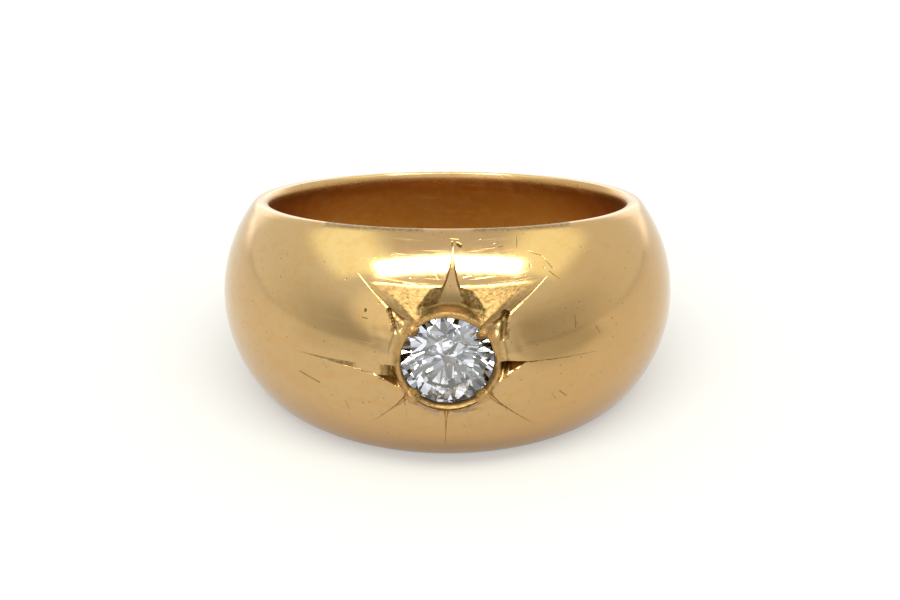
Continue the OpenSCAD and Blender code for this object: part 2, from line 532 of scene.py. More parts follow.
def delete_faces(piece, chosen):
    """Deletes the chosen faces, given as one flag for each face."""
    pick(piece)
    bpy.ops.object.mode_set(mode="EDIT")
    bpy.ops.mesh.select_mode(type="FACE")
    bpy.ops.mesh.select_all(action="DESELECT")
    bpy.ops.object.mode_set(mode="OBJECT")
    piece.data.polygons.foreach_set("select", chosen)
    bpy.ops.object.mode_set(mode="EDIT")
    bpy.ops.mesh.delete(type="FACE")
    bpy.ops.object.mode_set(mode="OBJECT")


def cut_or_add(piece, tool, operation):
    """Takes a tool's shape out of a piece, or fuses it to the piece."""
    pick(piece)
    modifier = piece.modifiers.new("shape", "BOOLEAN")
    modifier.operation = operation
    modifier.object = tool
    modifier.solver = "EXACT"
    bpy.ops.object.modifier_apply(modifier=modifier.name)
    bpy.data.objects.remove(tool)


# Share of the half width, from the middle to the rim, that the star's field takes
FIELD_SHARE = 0.95
FIELD_TURN = math.radians(43)
FIELD_COLUMNS = 154
FIELD_ROWS = 90
BACK_COLUMNS = 182
RINGS = 84
# Steps of the rim's rounded corners, its flat and the finger hole's wall
OUTER_STEPS = 5
FLAT_STEPS = 3
INNER_STEPS = 6
BORE_STEPS = 14
# Places across one side of a ray, as shares of its floor and of its wall
FLOOR_LINES = (0.5, 1.0)
WALL_LINES = (0.12, 0.45, 0.8, 1.0, 1.12)
RAY_LINES = len(FLOOR_LINES) + len(WALL_LINES)
GRAIN_HEIGHT = 0.27 * MM
GRAIN_SINK = 0.095 * MM


def band_turns():
    """Turns of the band's columns: fine over the star's field, coarser behind."""
    front = [-FIELD_TURN + 2 * FIELD_TURN * i / FIELD_COLUMNS for i in range(FIELD_COLUMNS + 1)]
    span = 2 * math.pi - 2 * FIELD_TURN
    back = [FIELD_TURN + span * i / BACK_COLUMNS for i in range(1, BACK_COLUMNS + 1)]
    return front + back


def corner(before, tip, after, steps):
    """Points of a rounded corner that leaves and meets its two sides smoothly."""
    points = []
    for i in range(steps + 1):
        t = i / steps
        points.append(tuple(
            (1 - t) ** 2 * a + 2 * t * (1 - t) * b + t * t * c
            for a, b, c in zip(before, tip, after)))
    return points


def section(dome, turn):
    """The band's closed outline at a turn, as (radius, height), dome rows first."""
    edge = dome.edge(turn)
    shape = dome.shape
    field = FIELD_SHARE * edge
    points = []
    for j in range(FIELD_ROWS + 1):
        z = field * (2 * j / FIELD_ROWS - 1)
        points.append((dome.radius(z), z))
    inner = dome.bore(turn)
    outer = dome.radius(edge)
    thick = outer - inner
    behind = 0.5 - 0.5 * math.cos(turn)
    outer_round = min(shape.edge_round * (1 + 0.6 * behind), (1 - FIELD_SHARE) * edge * 0.9)
    inner_round = shape.edge_round * (1 + 2.0 * behind)
    outer_share = min(outer_round / thick, 0.45)
    inner_share = min(inner_round / thick, 0.45)

    def rim_point(share):
        r = outer + (inner - outer) * share
        return r, dome.rim(turn, r)

    low = (dome.radius(edge - outer_round), edge - outer_round)
    half = [low]
    half += corner(low, rim_point(0), rim_point(outer_share), OUTER_STEPS)[1:]
    flat = 1 - inner_share - outer_share
    half += [rim_point(outer_share + flat * k / FLAT_STEPS) for k in range(1, FLAT_STEPS)]
    tip = rim_point(1)
    wall_end = tip[1] - inner_round * (1 + behind)
    half += corner(rim_point(1 - inner_share), tip, (inner, wall_end), INNER_STEPS)
    wall = [(inner, wall_end * (1 - 2 * k / BORE_STEPS)) for k in range(1, BORE_STEPS)]
    lower = [(r, -z) for r, z in reversed(half)]
    return points + half + wall + lower + [points[0]]


def make_shank(dome):
    """The band all round, open where the star's field goes."""
    turns = band_turns()
    outlines = [section(dome, turn) for turn in turns]
    rows = len(outlines[0]) - 1

    def place(column, row):
        r, z = outlines[column][row]
        return dome.place(turns[column], r, z)

    shank = net("shank", len(turns) - 1, rows, place)
    inside = []
    for polygon in shank.data.polygons:
        centre = TO_FRAME.inverted() @ polygon.center
        turn, r = dome.polar(centre)
        in_field = abs(turn) < FIELD_TURN and abs(centre.z) < FIELD_SHARE * dome.edge(turn)
        inside.append(in_field and r > dome.radius(centre.z) - 0.05 * MM)
    delete_faces(shank, inside)
    return shank


def field_edge(dome):
    """Corners round the star's field, anticlockwise from its lower right."""
    turns = band_turns()[:FIELD_COLUMNS + 1]
    right = [(turns[-1], 2 * j / FIELD_ROWS - 1) for j in range(FIELD_ROWS)]
    top = [(turns[i], 1) for i in range(FIELD_COLUMNS, 0, -1)]
    left = [(turns[0], 1 - 2 * j / FIELD_ROWS) for j in range(FIELD_ROWS)]
    bottom = [(turns[i], -1) for i in range(FIELD_COLUMNS)]
    edge = []
    for turn, share in right + top + left + bottom:
        z = FIELD_SHARE * dome.edge(turn) * share
        r = dome.radius(z)
        edge.append((r * math.sin(turn), z - dome.shape.star_rise, dome.place(turn, r, z)))
    return edge


def star_lines(star, edge):
    """For each line out from the stone: its direction at the field's edge and its job.

    A job is (ray, place) on a ray, or (ray, next ray, share) on a petal.
    """
    count = len(edge)
    directions = [math.atan2(y, x) for x, y, _ in edge]
    centres = []
    for ray in star.rays:
        gaps = [abs(turn_from(ray.angle, direction)) for direction in directions]
        centres.append(gaps.index(min(gaps)))
    jobs = [None] * count
    for ray, centre in enumerate(centres):
        for k in range(-RAY_LINES, RAY_LINES + 1):
            jobs[(centre + k) % count] = (ray, k)
    for ray in range(len(centres)):
        following = (ray + 1) % len(centres)
        start = centres[ray] + RAY_LINES
        span = (centres[following] - RAY_LINES - start) % count
        for k in range(1, span):
            jobs[(start + k) % count] = (ray, following, k / span)
    return directions, jobs


class Field:
    """Where each point of the star's field goes."""

    ring_power = 1.28
    # Least angle between a ray's lines, as a length across the ray
    least_step = 0.009 * MM
    # Share of the way between two rays that one ray's lines may take
    most_share = 0.47
    # Share of a line after which it turns to its corner on the field's edge
    latest_turn = 0.90

    def __init__(self, star):
        self.star = star
        self.edge = field_edge(star.dome)
        self.directions, self.jobs = star_lines(star, self.edge)
        self.lengths = [math.hypot(x, y) for x, y, _ in self.edge]
        self.starts = [star.shape.lip_outer_r] * len(self.edge)
        self.starts = [
            lip_edge(star.shape, self.point(line, 0)[0]) for line in range(len(self.edge))]

    def side_angle(self, ray_index, k, r):
        """Angle from a ray's axis to its line k at a radius."""
        rays = self.star.rays
        ray = rays[ray_index]
        sign = -1 if k < 0 else 1
        s = min(max(r, ray.start), ray.reach * 0.999)
        middle, half, top = self.star.wall_top(ray, s, sign)
        following = rays[(ray_index + sign) % len(rays)]
        gap = abs(turn_from(ray.angle, following.angle))
        places = [half * share for share in FLOOR_LINES]
        places += [half + (top - half) * share for share in WALL_LINES]
        base = math.asin(middle / r)
        most = gap * self.most_share - sign * base
        whole = math.asin(min(max(places[-1], self.least_step * RAY_LINES) / r, 0.9))
        if k == 0:
            return base
        side = max(places[abs(k) - 1], self.least_step * abs(k))
        angle = math.asin(min(side / r, 0.9)) * min(most / whole, 1)
        return base + sign * angle

    def point(self, line, q):
        """Place round the stone of a line's point, q from 0 at the lip to 1."""
        lip = self.starts[line]
        whole = self.lengths[line] - lip
        r = lip + whole * q ** self.ring_power
        job = self.jobs[line]
        rays = self.star.rays
        if len(job) == 2:
            ray, k = job
            angle = rays[ray].angle + self.side_angle(ray, k, r)
            tip = rays[ray].reach
        else:
            ray, following, share = job
            low = rays[ray].angle + self.side_angle(ray, RAY_LINES, r)
            high = rays[following].angle + self.side_angle(following, -RAY_LINES, r)
            angle = low + share * ((high - low) % (2 * math.pi))
            tip = rays[ray].reach * (1 - share) + rays[following].reach * share
        tip_q = (min((tip - lip) / whole, 1)) ** (1 / self.ring_power)
        turn = smooth_step(min(tip_q, self.latest_turn) * 0.97, 1, q)
        angle += turn_from(angle, self.directions[line]) * turn
        return angle, r


def make_field(star):
    """The star's field, from the stone's seat out to the shank."""
    dome = star.dome
    field = Field(star)
    count = len(field.edge)
    seat = seat_rows(star.shape)

    def place(column, row):
        line = column % count
        ring = row - len(seat)
        if ring == RINGS:
            return field.edge[line][2]
        if ring > 0:
            angle, r = field.point(line, ring / RINGS)
            x = r * math.cos(angle)
            y = r * math.sin(angle)
            return dome.place_at_stone(x, y, star.height(x, y))
        angle, r = field.point(line, 0)
        if ring == 0:
            w = lip_height(angle)
        else:
            r, w, on_lip, opening = seat[row]
            r += on_lip * lip_wobble(angle) + opening * lip_opening(angle)
            w += on_lip * lip_height(angle)
        return dome.place_at_stone(r * math.cos(angle), r * math.sin(angle), w)

    return net("field", count, len(seat) + RINGS, place)


def bell(angle, middle, wide):
    """1 at a direction round the stone in degrees, and 0 a width away from it."""
    off = abs(turn_from(math.radians(middle), angle))
    return smooth_step(math.radians(wide), 0, off)


def lip_wobble(angle):
    """The lip's inner edge isn't quite round: it was pushed over by hand."""
    waves = math.sin(3 * angle + 0.6) + math.sin(7 * angle + 2) + 0.7 * math.sin(17 * angle)
    return 0.011 * MM * waves


def lip_height(angle):
    waves = math.sin(5 * angle + 1.1) + math.sin(2 * angle) + 0.7 * math.sin(13 * angle)
    return 0.013 * MM * waves - 0.02 * MM - 0.20 * MM * bell(angle, -92, 65)


def lip_opening(angle):
    """On the right and at the bottom the lip stands a little off the stone."""
    left = 0.06 * bell(angle, 180, 40)
    return (0.19 * bell(angle, -22, 62) + 0.06 * bell(angle, -95, 45) + left) * MM


def lip_edge(shape, angle):
    """Radius at which the lip's top ends."""
    return shape.lip_outer_r + 0.6 * lip_opening(angle)


# Radius of the room round the stone's girdle
ROOM_R = 2.37 * MM


def seat_rows(shape):
    """Rows from behind the stone out to the lip's outer edge.

    Columns: radius, height, and the shares of the lip's unevenness and opening.
    """
    lip = shape.lip_r
    out = shape.lip_outer_r
    room = ROOM_R
    return [
        (0.0, -1.95 * MM, 0, 0),
        (0.5 * MM, -1.94 * MM, 0, 0),
        (0.9 * MM, -1.92 * MM, 0, 0),
        (1.6 * MM, -1.32 * MM, 0, 0),
        (room, -0.66 * MM, 0, 0),
        (room, -0.43 * MM, 0, 0),
        (lip, -0.41 * MM, 0.5, 0),
        (lip, -0.26 * MM, 0.8, 0.15),
        (lip + 0.01 * MM, -0.07 * MM, 1, 0.75),
        (lip + 0.03 * MM, -0.02 * MM, 1, 0.8),
        (lip + 0.06 * MM, 0.0, 1, 0.8),
        ((lip + out) / 2 + 0.02 * MM, 0.0, 0.8, 0.7),
        (out - 0.03 * MM, 0.0, 0.4, 0.62),
    ]


def make_grain(dome, direction, distance, half_length, half_width):
    """One grain: a bead pushed over the stone's edge, a little uneven."""
    angle = math.radians(direction)
    grain = add_piece("grain", bpy.ops.mesh.primitive_ico_sphere_add, subdivisions=5, radius=1)
    for vertex in grain.data.vertices:
        uneven = 1 + 0.14 * noise.noise(vertex.co * 1.9 + Vector((direction, 0, 0)))
        uneven += 0.07 * noise.noise(vertex.co * 5 + Vector((0, direction, 0)))
        out = distance * MM + vertex.co.x * half_length * MM * uneven
        side = vertex.co.y * half_width * MM * uneven
        up = vertex.co.z * GRAIN_HEIGHT * uneven - GRAIN_SINK
        x = out * math.cos(angle) - side * math.sin(angle)
        y = out * math.sin(angle) + side * math.cos(angle)
        vertex.co = dome.place_at_stone(x, y, up)
    return grain


# Heights of the ends of the rod that cuts the hole, from the lip
LIGHT_HOLE_TOP = -1.2 * MM
LIGHT_HOLE_END = -6 * MM


def make_light_hole(dome):
    """A rod along the stone's axis that cuts the hole behind it."""
    rod = add_piece(
        "light_hole", bpy.ops.mesh.primitive_cylinder_add,
        vertices=64, radius=dome.shape.light_hole_r, depth=1)
    for vertex in rod.data.vertices:
        w = LIGHT_HOLE_TOP if vertex.co.z > 0 else LIGHT_HOLE_END
        vertex.co = dome.place_at_stone(vertex.co.x, vertex.co.y, w)
    return rod


def math_operator(operation, turned=False):
    """A method that adds a Math node, with its two terms turned round or not."""
    def method(self, other):
        return self.math(operation, *((other, self) if turned else (self, other)))
    return method


class Value:
    """A node's output socket that Python's operators turn into Math nodes."""

    __add__ = math_operator("ADD")
    __radd__ = math_operator("ADD", turned=True)
    __sub__ = math_operator("SUBTRACT")
    __rsub__ = math_operator("SUBTRACT", turned=True)
    __mul__ = math_operator("MULTIPLY")
    __truediv__ = math_operator("DIVIDE")
    __pow__ = math_operator("POWER")

    def __init__(self, shader, socket):
        self.shader = shader
        self.socket = socket

    def math(self, operation, *terms):
        sockets = dict(enumerate(terms))
        return self.shader.node("Math", {"operation": operation}, sockets)

    def __neg__(self):
        return self.math("MULTIPLY", self, -1)

    def __abs__(self):
        return self.math("ABSOLUTE", self)

    def vector(self, operation, other, output=0):
        sockets = {0: self, 1: other}
        return self.shader.node("VectorMath", {"operation": operation}, sockets, output)

    def above(self, low, high):
        """0 below low and 1 above high, smooth between."""
        return self.shader.node(
            "MapRange", {"interpolation_type": "SMOOTHSTEP"},
            {"Value": self, "From Min": low, "From Max": high})


class Shader:
    """A material's or world's node tree."""

    def __init__(self, owner):
        owner.use_nodes = True
        self.tree = owner.node_tree
        self.tree.nodes.clear()

    def node(self, kind, settings=None, sockets=None, output=0):
        """Adds a node of a kind, with its settings and its sockets' values or links."""
        made = self.tree.nodes.new("ShaderNode" + kind)
        for name, value in (settings or {}).items():
            setattr(made, name, value)
        for name, value in (sockets or {}).items():
            socket = made.inputs[name]
            if isinstance(value, Value):
                self.tree.links.new(value.socket, socket)
            else:
                socket.default_value = value
        return Value(self, made.outputs[output]) if made.outputs else made

    def split(self, vector):
        """The X, Y and Z of a vector."""
        axes = self.node("SeparateXYZ", {}, {"Vector": vector}).socket.node
        return [Value(self, axes.outputs[name]) for name in ("X", "Y", "Z")]

    def mix(self, factor, under, over):
        """One colour laid over another by a factor."""
        under, over = [c if isinstance(c, Value) else (*c[:3], 1) for c in (under, over)]
        return self.node("Mix", {"data_type": "RGBA"}, {0: factor, 6: under, 7: over}, 2)

    def coats(self, colour, *coats):
        """Lays coats over a colour in turn, each given as (factor, colour)."""
        for factor, coat in coats:
            colour = self.mix(factor, colour, coat)
        return colour

    def place(self, scale=(1, 1, 1), turn=(0, 0, 0)):
        """Object coordinates in millimetres, turned and scaled."""
        coordinates = self.node("TexCoord", output="Object")
        return self.node("Mapping", {"vector_type": "POINT"}, {
            "Vector": coordinates, "Scale": [s / MM for s in scale], "Rotation": turn})

    def noise(self, vector, scale, detail=2.0, roughness=0.5):
        return self.node("TexNoise", {"noise_dimensions": "3D"}, {
            "Vector": vector, "Scale": scale, "Detail": detail, "Roughness": roughness})

    def ray_is(self, kind):
        """1 for the light rays of a kind, such as those seen by the camera itself."""
        return self.node("LightPath", output=f"Is {kind} Ray")

    def surface(self, sockets):
        """Ends a material with a Principled BSDF and these sockets."""
        made = self.node("BsdfPrincipled", {}, sockets)
        self.node("OutputMaterial", {}, {"Surface": made})


def tinted(colour, factors):
    return [c * f for c, f in zip(colour, factors)]


# What the painting of wear leaves on the band's points: cuts, rough setting, dirt with painted shade,
# and the finger hole's painted shade
WEAR_AND_SHADE_LAYERS = ("cut", "setting", "grime", "inside")
# Tints of the gold where it is warm and worn, and painted shade low down and on the right
WARM = (1.0, 0.86, 0.66)
WORN = (0.86, 0.84, 0.80)
LOW_AND_RIGHT_SHADE = (0.92, 0.81, 0.66)


def gold_material(finish):
    """Yellow gold, polished and worn: waves, hairlines, pits and dark cuts, with painted shade in the
    cuts, round the stone, in the finger hole and low down.
    """
    material = bpy.data.materials.new("worn_gold")
    shader = Shader(material)
    plain = shader.place()
    cut, setting, grime, inside = [
        shader.node("Attribute", {"attribute_name": name}, output="Fac")
        for name in WEAR_AND_SHADE_LAYERS]
    cloud = shader.noise(plain, 0.35, 3)
    grain = shader.noise(plain, 2.2, 4, 0.6)
    patina = shader.noise(shader.place((1.1, 1.1, 2.4)), 1, 5, 0.7)
    chatter = shader.noise(shader.place((5, 5, 5), (0, 0.8, 0)), 1, 3, 0.6)
    hairs = hairlines(shader)
    pits = pit_marks(shader)
    dents = named_marks(shader) * (1 - inside)
    x, _, z = shader.split(plain)
    # Painted shade: the gold darker and more orange low down and on the right
    low = (1 - z.above(1.0, 3.8)) * 0.75 + x.above(1, 7) * 0.4
    worn = tinted(finish.gold, WORN)
    colour = shader.coats(
        finish.gold,
        (cloud.above(0.35, 0.7) * 0.2, worn),
        (patina.above(0.45, 0.7) * 0.6, tinted(finish.gold, WARM)),
        (grain.above(0.5, 0.75) * 0.5, worn),
        (low, tinted(finish.gold, LOW_AND_RIGHT_SHADE)),
        # Rough setting gold, with painted shade and reflected orange light on the lip and grains
        (setting * 0.55, finish.setting),
        # Tarnish and painted shade, darker the deeper the cut
        (cut.above(0.15, 0.7) * 0.7, finish.tarnish_and_shade),
        (cut.above(0.4, 0.9) * 0.45, finish.dirt_and_shade),
        # Dirt in patches, and painted shade beside the petals, in the pockets and hollows, against the
        # stone and in the thin cuts
        (grime * (0.6 + chatter.above(0.42, 0.58) * 0.4), finish.dirt_and_shade),
        # Painted shade and painted reflected light in the finger hole
        (inside * (0.97 - patina.above(0.42, 0.62) * 0.15), finish.inside),
        (dents * 0.75, finish.dirt_and_shade),
        (pits * 0.55, finish.dirt_and_shade))
    rough = finish.polish + grain.above(0.45, 0.75) * 0.06 + hairs * 0.12
    rough = rough + cut * 0.1 + setting * 0.26 + inside ** 0.3 * 0.18 + grime * 0.26
    lumps = shader.noise(plain, 5, 2)
    waves = shader.noise(plain, 0.9, 2)
    height = hairs * (-0.0009 * finish.wear) + pits * -0.006 + grain * 0.001
    height = height + dents * -0.005 + lumps * setting * 0.032 + chatter * grime * 0.045
    height = height + waves * 0.003
    bump = shader.node("Bump", {}, {"Height": height * MM, "Distance": 1.0, "Strength": 1.0})
    shader.surface({"Base Color": colour, "Metallic": 1.0, "Roughness": rough, "Normal": bump})
    return material


# Columns: turns about X, Y and Z in degrees, and how sparse the lines are
HAIR_SETS = [
    (0, 0, 0, 0.66),
    (0, 14, 35, 0.70),
    (25, 0, -40, 0.72),
    (0, 80, 10, 0.73),
]


def hairlines(shader):
    """Thin scratches in a few directions, drawn from stretched noise."""
    lines = []
    for x, y, z, sparse in HAIR_SETS:
        place = shader.place((0.35, 0.35, 14), [math.radians(a) for a in (x, y, z)])
        lines.append(shader.noise(place, 1, 1, 0.4).above(sparse, sparse + 0.08))
    return sum(lines)


def pit_marks(shader):
    """Small sparse dents, some of them dark."""
    cells = shader.node("TexVoronoi", {"feature": "F1"}, {
        "Vector": shader.place(), "Scale": 1.7, "Randomness": 1.0}, output="Distance")
    return 1 - cells.above(0.05, 0.11)


def named_marks(shader):
    """Depth of the scratches and nicks seen on the front, in hundredths."""
    x, y, z = shader.split(shader.node("TexCoord", output="Object"))
    up = (y - HOLE_CENTRE.y) * HOLE_AXIS.y + (z - HOLE_CENTRE.z) * HOLE_AXIS.z
    flat = shader.node("CombineXYZ", {}, {"X": x / MM, "Y": up / MM})
    wander = shader.noise(shader.place(), 2.5, 2) - 0.5
    depths = []
    for x0, y0, x1, y1, half, deep in MARKS:
        start = Vector((x0, y0 + STAR_RISE, 0))
        run = Vector((x1 - x0, y1 - y0, 0))
        away = flat.vector("SUBTRACT", start)
        along = away.vector("DOT_PRODUCT", run, "Value")
        share = shader.node(
            "Math", {"operation": "MULTIPLY", "use_clamp": True},
            {0: along, 1: 1 / run.length_squared})
        nearest = shader.node("VectorMath", {"operation": "SCALE"}, {0: run, "Scale": share})
        gap = away.vector("DISTANCE", nearest, "Value") + wander * 0.06
        depths.append((1 - gap.above(half * 0.3, half * 1.5)) * deep)
    in_front = 1 - y.above(-2 * MM, 0)
    return sum(depths) * in_front


DIAMOND_IOR = 2.417


def diamond_material(finish):
    """A clear stone with the faintest haze."""
    material = bpy.data.materials.new("clear_stone")
    shader = Shader(material)
    haze = shader.noise(shader.place(), 0.8, 2)
    hazy = [c * 0.97 for c in finish.stone]
    shader.surface({
        "Base Color": shader.mix(haze.above(0.4, 0.7) * 0.3, finish.stone, hazy),
        "Metallic": 0.0, "Roughness": 0.0, "IOR": DIAMOND_IOR, "Transmission Weight": 1.0})
    return material


# Sizes of the stone in millimetres, its heights from the girdle's top edge
GIRDLE_R = 2.33
GIRDLE_SINK = 0.5
GIRDLE_H = 0.12
CROWN_H = 0.68
TABLE_R = 1.328
STONE_DEPTH = 2.1
HALF_FACET = math.cos(math.radians(11.25))

# Columns: number of facets, turn of the first one in degrees, their angle to the
# girdle's plane, and a point that they pass through by its distance from the
# axis and its height. Facets with heights below 0 are the pavilion's.
FACETS = [
    (8, 0.0, 34.2, GIRDLE_R, 0.0),
    (16, 11.25, 41.4, GIRDLE_R * HALF_FACET, 0.0),
    (8, 22.5, 22.2, TABLE_R * math.cos(math.radians(22.5)), CROWN_H),
    (8, 0.0, 41.3, GIRDLE_R, -GIRDLE_H),
    (16, 11.25, 42.5, GIRDLE_R * HALF_FACET, -GIRDLE_H),
]
STONE_TURN = 8.0
# How far a facet's angle and turn may be off, in degrees
FACET_SLIP = 0.5


def make_stone(dome):
    """The round brilliant, ground from a rod one facet at a time."""
    stone = add_piece(
        "brilliant", bpy.ops.mesh.primitive_cylinder_add, vertices=96, radius=GIRDLE_R, depth=2)
    for vertex in stone.data.vertices:
        vertex.co.z = CROWN_H if vertex.co.z > 0 else -GIRDLE_H - STONE_DEPTH
    bpy.ops.object.mode_set(mode="EDIT")
    for count, first, angle, reach, height in FACETS:
        side = -1 if height < 0 else 1
        for k in range(count):
            slip = noise.noise(Vector((3.7 * k, 1.3 * count, 5.1 * side))) * FACET_SLIP
            turn = math.radians(STONE_TURN + first + 360 / count * k + slip)
            tilt = math.radians(angle + 0.7 * slip)
            out = Vector((math.cos(turn), math.sin(turn), 0))
            bpy.ops.mesh.select_all(action="SELECT")
            bpy.ops.mesh.bisect(
                plane_co=out * reach + Vector((0, 0, height)),
                plane_no=out * math.sin(tilt) + Vector((0, 0, side * math.cos(tilt))),
                use_fill=True, clear_outer=True)
    bpy.ops.object.mode_set(mode="OBJECT")
    for vertex in stone.data.vertices:
        x, y, z = vertex.co * MM
        vertex.co = dome.place_at_stone(x, y, z - GIRDLE_SINK * MM)
    return join("brilliant", [stone], 2e-3 * MM)


def set_material(piece, material):
    piece.data.materials.clear()
    piece.data.materials.append(material)


# How far a point of the star may lie from the stone's middle, under the crown
# and from the band's middle, and how deep its cuts are at most
STAR_REACH = 8.2 * MM
STAR_FALL = 9 * MM
STAR_HALF_W = 6 * MM
DEEPEST_CUT = 2.6 * MM
# Depths under the dome and in a hollow at which the gold counts as cut
FULL_CUT = 0.7 * MM
FULL_HOLLOW = 0.22 * MM
PATCH_SIZE = 0.3 * MM


def wear_and_shade_at(star, x, y, w):
    """Shares of cut, rough setting, and dirt with painted shade at a point on the front."""
    r = math.hypot(x, y)
    near = mm_step(2.85, 2.55, r) * mm_step(-1.4, -1.1, w)
    below = star.base(x, y) - w
    if below >= DEEPEST_CUT:
        return 0.0, near, 0.0
    hollow = star.hollow(x, y, r)
    # How deep a point lies in a cut or hollow, for their tarnish and painted shade
    depth = max(clamp(below / FULL_CUT), clamp(hollow / FULL_HOLLOW))
    # Dirt in patches round the stone, and a thin ring of painted shade against its edge
    patch = max(noise.noise(Vector((x, y, w)) / PATCH_SIZE), 0)
    edge = 0.8 * mm_step(2.42, 2.34, r)
    # Dirt and painted shade in the thin cuts: it starts farther out on the left and is weaker above
    line = 0.8 * mm_step(0.004, 0.03, below)
    line *= mm_step(4.4, 4.9, r) if x < 0 and abs(y) < 1.5 * MM else mm_step(3.2, 3.7, r)
    if y > 1.2 * MM:
        line *= 0.4 + 0.5 * mm_step(3.8, 4.8, r)
        line *= mm_step(1.0, 1.4, abs(x))
    # The petals' upper faces, where nothing is cut into them: rougher, and darkened by painted shade
    # that dims the softbox's reflection
    petal = star.between_petal_rays(x, y) * mm_step(3.62, 3.45, y)
    petal *= mm_step(1.0, 1.4, y) * mm_step(0.02, 0.005, below)
    grime = max(
        # Painted shade on the walls beside the petals, in the hollows and in the pockets
        star.shade_beside_petals(x, y, r), min(hollow / (0.2 * MM), 0.8), star.pocket_shade(x, y),
        near * (0.18 + 0.9 * patch), edge, line, 0.7 * petal)
    return depth, max(near, 0.45 * petal), grime


def bore_shade_at(star, local):
    """Where the finger hole's painted shade and reflected light go: 1 in the hole, and 0 outside it
    and close under its worn rims.
    """
    turn, r = star.dome.polar(local)
    under_rim = star.dome.rim(turn, r) - abs(local.z)
    from_wall = math.hypot(local.x, local.y) - star.shape.finger_r
    on_wall = mm_step(0.45, 0.02, from_wall)
    return on_wall * mm_step(0.02, 0.45 - 0.35 * math.cos(turn), under_rim)


def paint_wear_and_shade(piece, star):
    """Paints each point's place in a cut, the rough setting, the dirt with painted shade, and the
    bore's painted shade.
    """
    to_ring = TO_FRAME.inverted()
    points = []
    for vertex in piece.data.vertices:
        local = to_ring @ vertex.co
        x = local.x
        y = local.z - star.shape.star_rise
        w = -local.y - star.dome.front_y
        in_front = local.y < 0 and w > -STAR_FALL and abs(local.z) < STAR_HALF_W
        if in_front and math.hypot(x, y) < STAR_REACH:
            wear = wear_and_shade_at(star, x, y, w)
        else:
            wear = (0.0, 0.0, 0.0)
        points.append((*wear, bore_shade_at(star, local)))
    for name, values in zip(WEAR_AND_SHADE_LAYERS, zip(*points)):
        layer = piece.data.attributes.new(name, "FLOAT", "POINT")
        layer.data.foreach_set("value", values)


# Faces that meet at more than this angle keep a sharp edge
SMOOTH_ANGLE = math.radians(24)


class RING_OT_band(Operator):
    """Models the gold band with its star, lip, seat and grains"""

    bl_idname = "ring.band"
    bl_label = "Make the Band"

    def execute(self, context):
        dome = Dome(context.scene.ring_shape)
        star = Star(dome)
        band = join("gold_band", [make_shank(dome), make_field(star)])
        cut_or_add(band, make_light_hole(dome), "DIFFERENCE")
        for row in GRAINS:
            cut_or_add(band, make_grain(dome, *row), "UNION")
        pick(band)
        bpy.ops.object.shade_smooth_by_angle(angle=SMOOTH_ANGLE)
        paint_wear_and_shade(band, star)
        set_material(band, gold_material(context.scene.ring_finish))
        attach(band, "root")
        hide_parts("band")
        return {"FINISHED"}


class RING_OT_stone(Operator):
    """Grinds the round brilliant, facet by facet"""

    bl_idname = "ring.stone"
    bl_label = "Make the Stone"

    def execute(self, context):
        stone = make_stone(Dome(context.scene.ring_shape))
        set_material(stone, diamond_material(context.scene.ring_finish))
        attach(stone, "root")
        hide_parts("diamond")
        return {"FINISHED"}


CAMERA_DISTANCE = 150 * MM
CAMERA_RISE = math.radians(28.07)
CAMERA_SHIFT = (0.0028, -0.0233)
CLIP_START = 10 * MM
# Lens and film width, in the lens maker's millimetres
LENS = 112.3
FILM = 36
# Cosine of the half angle that the dark camera takes up, seen from the ring
LENS_EDGE = 0.94

# The softbox over the ring: its place, its size, its roll round the line to the
# ring, the brightness of its surface and its colour
BOX_PLACE = Vector((0.002, -0.105, 0.3))
BOX_SIZE = (0.375, 0.076)
BOX_ROLL = math.radians(1.3)
BOX_BRIGHTNESS = 2.9
BOX_COLOUR = (1.0, 0.98, 0.86)

# Width of the floor in metres
FLOOR_SIZE = 3.0
BLACK = (0.0, 0.0, 0.0)
# What the floor shows to the light that has passed through the stone
UNDER_STONE = (0.01, 0.01, 0.01)
# Glow of the spots on that floor: painted sparkle, seen only by light through the stone
SPOTS = (1.25, 1.25, 1.3)


def make_floor(stage):
    """A matt, glowing floor. The gold mirrors a bright glowing zone far behind and dark ones in front.
    """
    floor = add_piece("floor", bpy.ops.mesh.primitive_plane_add, size=FLOOR_SIZE)
    material = bpy.data.materials.new("pale_floor")
    shader = Shader(material)
    x, y, _ = shader.split(shader.node("TexCoord", output="Object"))
    right = x.above(-0.01, 0.01)
    far_behind = y.above(0.035, 0.10) * (1 - (abs(x) / y).above(0.7, 1.3))
    aside = abs(x) / -y
    reach = (x * x + y * y) ** 0.5 + right * (1 - aside.above(1.0, 2.5)) * 0.009
    far_front = aside.above(0.45, 0.85) * (1 - aside.above(1.5, 5.0)) * reach.above(0.028, 0.05)
    far_front = far_front * (0.35 + right * 0.65) * (1 - y.above(-0.01, 0))
    through = shader.ray_is("Transmission") * 0.95
    spots = shader.noise(shader.place((0.22, 0.22, 0.22)), 1, 3).above(0.46, 0.56)
    glow = shader.coats(
        stage.floor_glow,
        (far_behind, (1.3, 1.3, 1.3)),
        (far_front * (1 - shader.ray_is("Camera")), BLACK),
        (through, shader.mix(spots, BLACK, SPOTS)))
    mottle = shader.noise(shader.place((0.01, 0.01, 0.01)), 1, 2)
    colour = shader.coats(
        stage.floor, (mottle * 0.1, [c * 0.98 for c in stage.floor]), (through, UNDER_STONE))
    shader.surface({
        "Base Color": colour, "Roughness": 0.9, "Specular IOR Level": 0.0,
        "Emission Color": glow, "Emission Strength": 1.0})
    set_material(floor, material)


